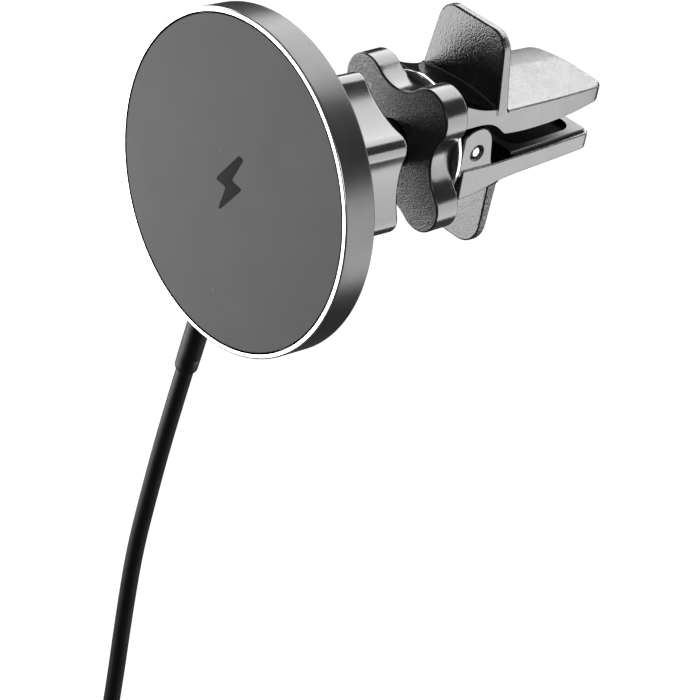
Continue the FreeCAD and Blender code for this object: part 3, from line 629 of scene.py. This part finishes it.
# deck faces ahead of the fin are painted near black as shade
for f in body_ob.data.polygons:
    c = f.center * 1000.0
    if 43.3 < c.y + SY < 51.3 and c.z + SZ > 9.2 and f.normal.z > 0.8 and abs(f.normal.x) < 0.04 and abs(c.x) > 3.5:
        f.material_index = 2
for f in lever_ob.data.polygons:
    c = f.center * 1000.0
    if f.normal.x > 0.85 and c.z + SZ < -7.0 and c.y + SY > 53.2:
        f.material_index = 3
# the jaw pad is one rubber piece: its rim faces get a lighter copy as a painted highlight, the pocket floor the
# near-black painted shade
M["rubber_rim_painted_highlight"] = grained("rubber_rim_painted_highlight", (0.03, 0.03, 0.03), rough=(0.32, 0.4), var=0.15, grain=2600, strength=0.15, spec=0.7)
grip_ob = cad_copy("lower_jaw_grip", "lower_jaw_pad", 0.22, 3, 28)
piece(grip_ob, "jaw", [M["painted_shade_black"], M["rubber_rim_painted_highlight"]], "lower_jaw_pad", slot="rubber")
for f in grip_ob.data.polygons:
    c = f.center * 1000.0
    if c.z + SZ > -1.1 + (c.y + SY - 58.25) * 0.072 or (f.normal.x > 0.4 and c.x > 8.3):
        f.material_index = 1
piece(cad_copy("upper_jaw_grip", "upper_jaw_pad", 0.15, 3, 28), "clip", M["rubber"], "upper_jaw_pad", slot="rubber")
piece(cad_copy("ball_stem_post", "ball_stem", 0.15, 3, 40, 0.05), "clip", M["ball_plastic"], "ball_stem", slot="ball_plastic")

# fine moulding line along the foot of the fin, a bead coloured lighter than the plastic as a painted highlight of the
# crease
bm = bmesh.new()
rows = []
for i in range(41):
    x = -9.7 + 19.4 * i / 40
    z = 10.02 + math.sqrt(53.0 ** 2 - x * x) - 52.4 - 0.02
    rows.append([bm.verts.new(D(x, 50.95 + 0.13 * math.cos(t), z + 0.13 * math.sin(t))) for t in (2 * math.pi * j / 10 for j in range(10))])
for a, b in zip(rows, rows[1:]):
    for j in range(10):
        bm.faces.new((a[j], a[(j + 1) % 10], b[(j + 1) % 10], b[j]))
bm.faces.new(rows[0])
bm.faces.new(list(reversed(rows[-1])))
# grey far lighter than the clip plastic: painted highlight
M["painted_highlight_seam"] = grained("painted_highlight_seam", (0.10, 0.10, 0.10), rough=(0.3, 0.4), var=0.1, grain=3000, strength=0.1, spec=1.0)
piece(finish_mesh("fin_foot_highlight_bead", bm, 40), "clip", M["painted_highlight_seam"], slot="clip_plastic")

# pivot pin with domed ends
pin = []
for s in (-1, 1):
    seq = [(9.2, 1.0), (9.32, 0.98), (9.42, 0.88), (9.47, 0.7), (9.5, 0.4), (9.51, 0.0)]
    seq = seq if s > 0 else [(-x, r) for x, r in reversed(seq)]
    pin += seq
rg = []
for x, r in pin:
    rg.append([(x, 48.5, 1.3)] if r < 1e-6 else [(x, 48.5 + r * math.cos(2 * math.pi * i / 48), 1.3 + r * math.sin(2 * math.pi * i / 48)) for i in range(48)])
piece(rings_mesh("pivot_pin_rod", rg, sharp=40), "clip", M["steel"], "pivot_pin", slot="steel")

spring = cad_copy("jaw_spring_wire", "jaw_spring", 0, 0, 0, 0)
piece(spring, "clip", M["steel"], "jaw_spring", slot="steel")
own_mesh(spring)

# ------------------------------------------------------------------ plug and tie
tie = piece(cad_copy("cable_tie_strap", "cable_tie", 0.25, 2, 30), "head", M["tie_strap"], "cable_tie", slot="tie_strap")
plug = piece(cad_copy("plug_body_grip", "plug_body", 0.15, 3, 30), "head", M["plug_plastic"], "plug_body", slot="plug_plastic")
shell = piece(cad_copy("plug_shell_tube", "plug_shell", 0.06, 2, 30), "head", M["plug_metal"], "plug_shell", slot="plug_metal")
tongue = piece(cad_copy("plug_tongue_pair", "plug_tongue", 0.05, 2, 30), "head", M["black_plastic"], "plug_tongue", slot="black_plastic")

# ------------------------------------------------------------------ carried-over CAD nodes
for node, m in (("front_plate", "black_plastic"), ("magnet_segments", "magnet"), ("magnet_shunt", "steel"), ("charging_coil", "copper"),
                ("ferrite_shield", "ferrite"), ("circuit_board", "board"), ("board_components", "black_plastic"), ("board_screws", "steel"),
                ("socket_screws", "steel"), ("friction_cup", "rubber"), ("seat_ring", "nylon")):
    ob = NODES[node]
    if not ob.material_slots:
        ob.data.materials.append(M[m])
    for s in ob.material_slots:
        s.material = M[m]


# ------------------------------------------------------------------ stage and light
def stage_mesh():
    bm = bmesh.new()
    prof = [(-2.2, 0.0)]
    prof += [(1.6, 0.0)]
    for i in range(1, 13):
        t = math.radians(90 * i / 12)
        prof.append((1.6 + 0.8 * math.sin(t), 0.8 * (1 - math.cos(t))))
    prof.append((2.4, 3.0))
    z0 = (-232.5 - SZ) / 1000.0 - 0.012
    back = Vector((-0.6, 0.8, 0)).normalized()
    sidev = Vector((0.8, 0.6, 0))
    rows = []
    for s, h in prof:
        rows.append([bm.verts.new(back * s + sidev * w + Vector((0, 0, z0 + h))) for w in (-3.5, 3.5)])
    for a, b in zip(rows, rows[1:]):
        bm.faces.new((a[0], a[1], b[1], b[0]))
    return finish_mesh("studio_sweep", bm, 180, weighted=False)


sweep = stage_mesh()
m, nt, p, tc = nodes_of("sweep_white")
c = noise(nt, tc, 2.0, 3.0, 0.5)
nt.links.new(ramp(nt, c.outputs[0], [(0.2, (0.05, 0.05, 0.05)), (0.8, (0.06, 0.06, 0.06))]).outputs[0], p.inputs["Base Color"])
p.inputs["Roughness"].default_value = 0.9
p.inputs["Specular IOR Level"].default_value = 0.0
p.inputs["Emission Color"].default_value = (1, 1, 1, 1)
p.inputs["Emission Strength"].default_value = 1.0
sweep.data.materials.append(m)
# a plain white wall all round, for the views from the sides and the back
bm = bmesh.new()
zf = (-232.5 - SZ) / 1000.0 - 0.016
rows = [[bm.verts.new((r * math.cos(2 * math.pi * i / 96), r * math.sin(2 * math.pi * i / 96), z)) for i in range(96)] for r, z in ((3.6, zf), (4.2, zf + 0.6), (4.2, zf + 5.0))]
bm.faces.new(rows[0])
for a, b in zip(rows, rows[1:]):
    for i in range(96):
        j = (i + 1) % 96
        bm.faces.new((a[i], b[i], b[j], a[j]))
wall = finish_mesh("studio_wall", bm, 180, weighted=False)
wall.data.materials.append(m)
for flag in ("diffuse", "glossy", "transmission", "volume_scatter", "shadow"):
    setattr(wall, "visible_" + flag, False)
# the white page lights only itself, so it does not wash out the dark plastics
own = bpy.data.collections.new("sweep_light")
own.objects.link(sweep)
own.objects.link(wall)
sweep.light_linking.receiver_collection = own
wall.light_linking.receiver_collection = own

world = bpy.data.worlds.new("studio")
bpy.context.scene.world = world
world.use_nodes = True
bg = world.node_tree.nodes.get("Background") or world.node_tree.nodes.new("ShaderNodeBackground")
bg.inputs[0].default_value = (1, 1, 1, 1)
bg.inputs[1].default_value = 0.10
wo = world.node_tree.nodes.get("World Output") or world.node_tree.nodes.new("ShaderNodeOutputWorld")
world.node_tree.links.new(bg.outputs[0], wo.inputs[0])


def softbox(name, centre, dist, width, height, radiance, target=(0, -0.03, 0), roll=0.0):
    """Rectangle facing the part; width runs round the Y axis, height towards it."""
    d = Vector(centre).normalized()
    t = Vector((0, 1, 0)).cross(d).normalized()
    u = d.cross(t)
    if roll:
        q = Matrix.Rotation(math.radians(roll), 3, d)
        t, u = q @ t, q @ u
    li = bpy.data.lights.new(name, "AREA")
    li.shape = "RECTANGLE"
    li.size = width
    li.size_y = height
    li.energy = radiance * math.pi * width * height
    ob = bpy.data.objects.new(name, li)
    m4 = Matrix(((t.x, u.x, d.x), (t.y, u.y, d.y), (t.z, u.z, d.z))).to_4x4()
    m4.translation = Vector(target) + d * dist
    ob.matrix_world = m4
    ob.visible_camera = False
    bpy.context.scene.collection.objects.link(ob)
    return ob


def on_cone(psi, y=0.62):
    k = math.sqrt(1 - y * y)
    return (k * math.cos(math.radians(psi)), y, k * math.sin(math.radians(psi)))


softbox("light_right_low", on_cone(-20), 0.36, 0.36, 0.26, 4.5)
softbox("light_top_left", on_cone(114), 0.60, 0.66, 0.42, 5.9)
softbox("light_front_low", (-0.60, -0.59, -0.54), 0.40, 0.42, 0.38, 5.2)
softbox("light_back", (0.10, 1.0, 0.32), 0.80, 0.60, 0.60, 3.2)
softbox("light_left", (-0.95, 0.05, 0.25), 0.80, 0.50, 0.60, 2.2)
softbox("light_right", (0.92, -0.25, 0.40), 0.90, 0.40, 0.50, 1.6)

vs = bpy.context.scene.view_settings
vs.view_transform = "Standard"
vs.look = "None"
vs.exposure = 0.0
vs.gamma = 1.0
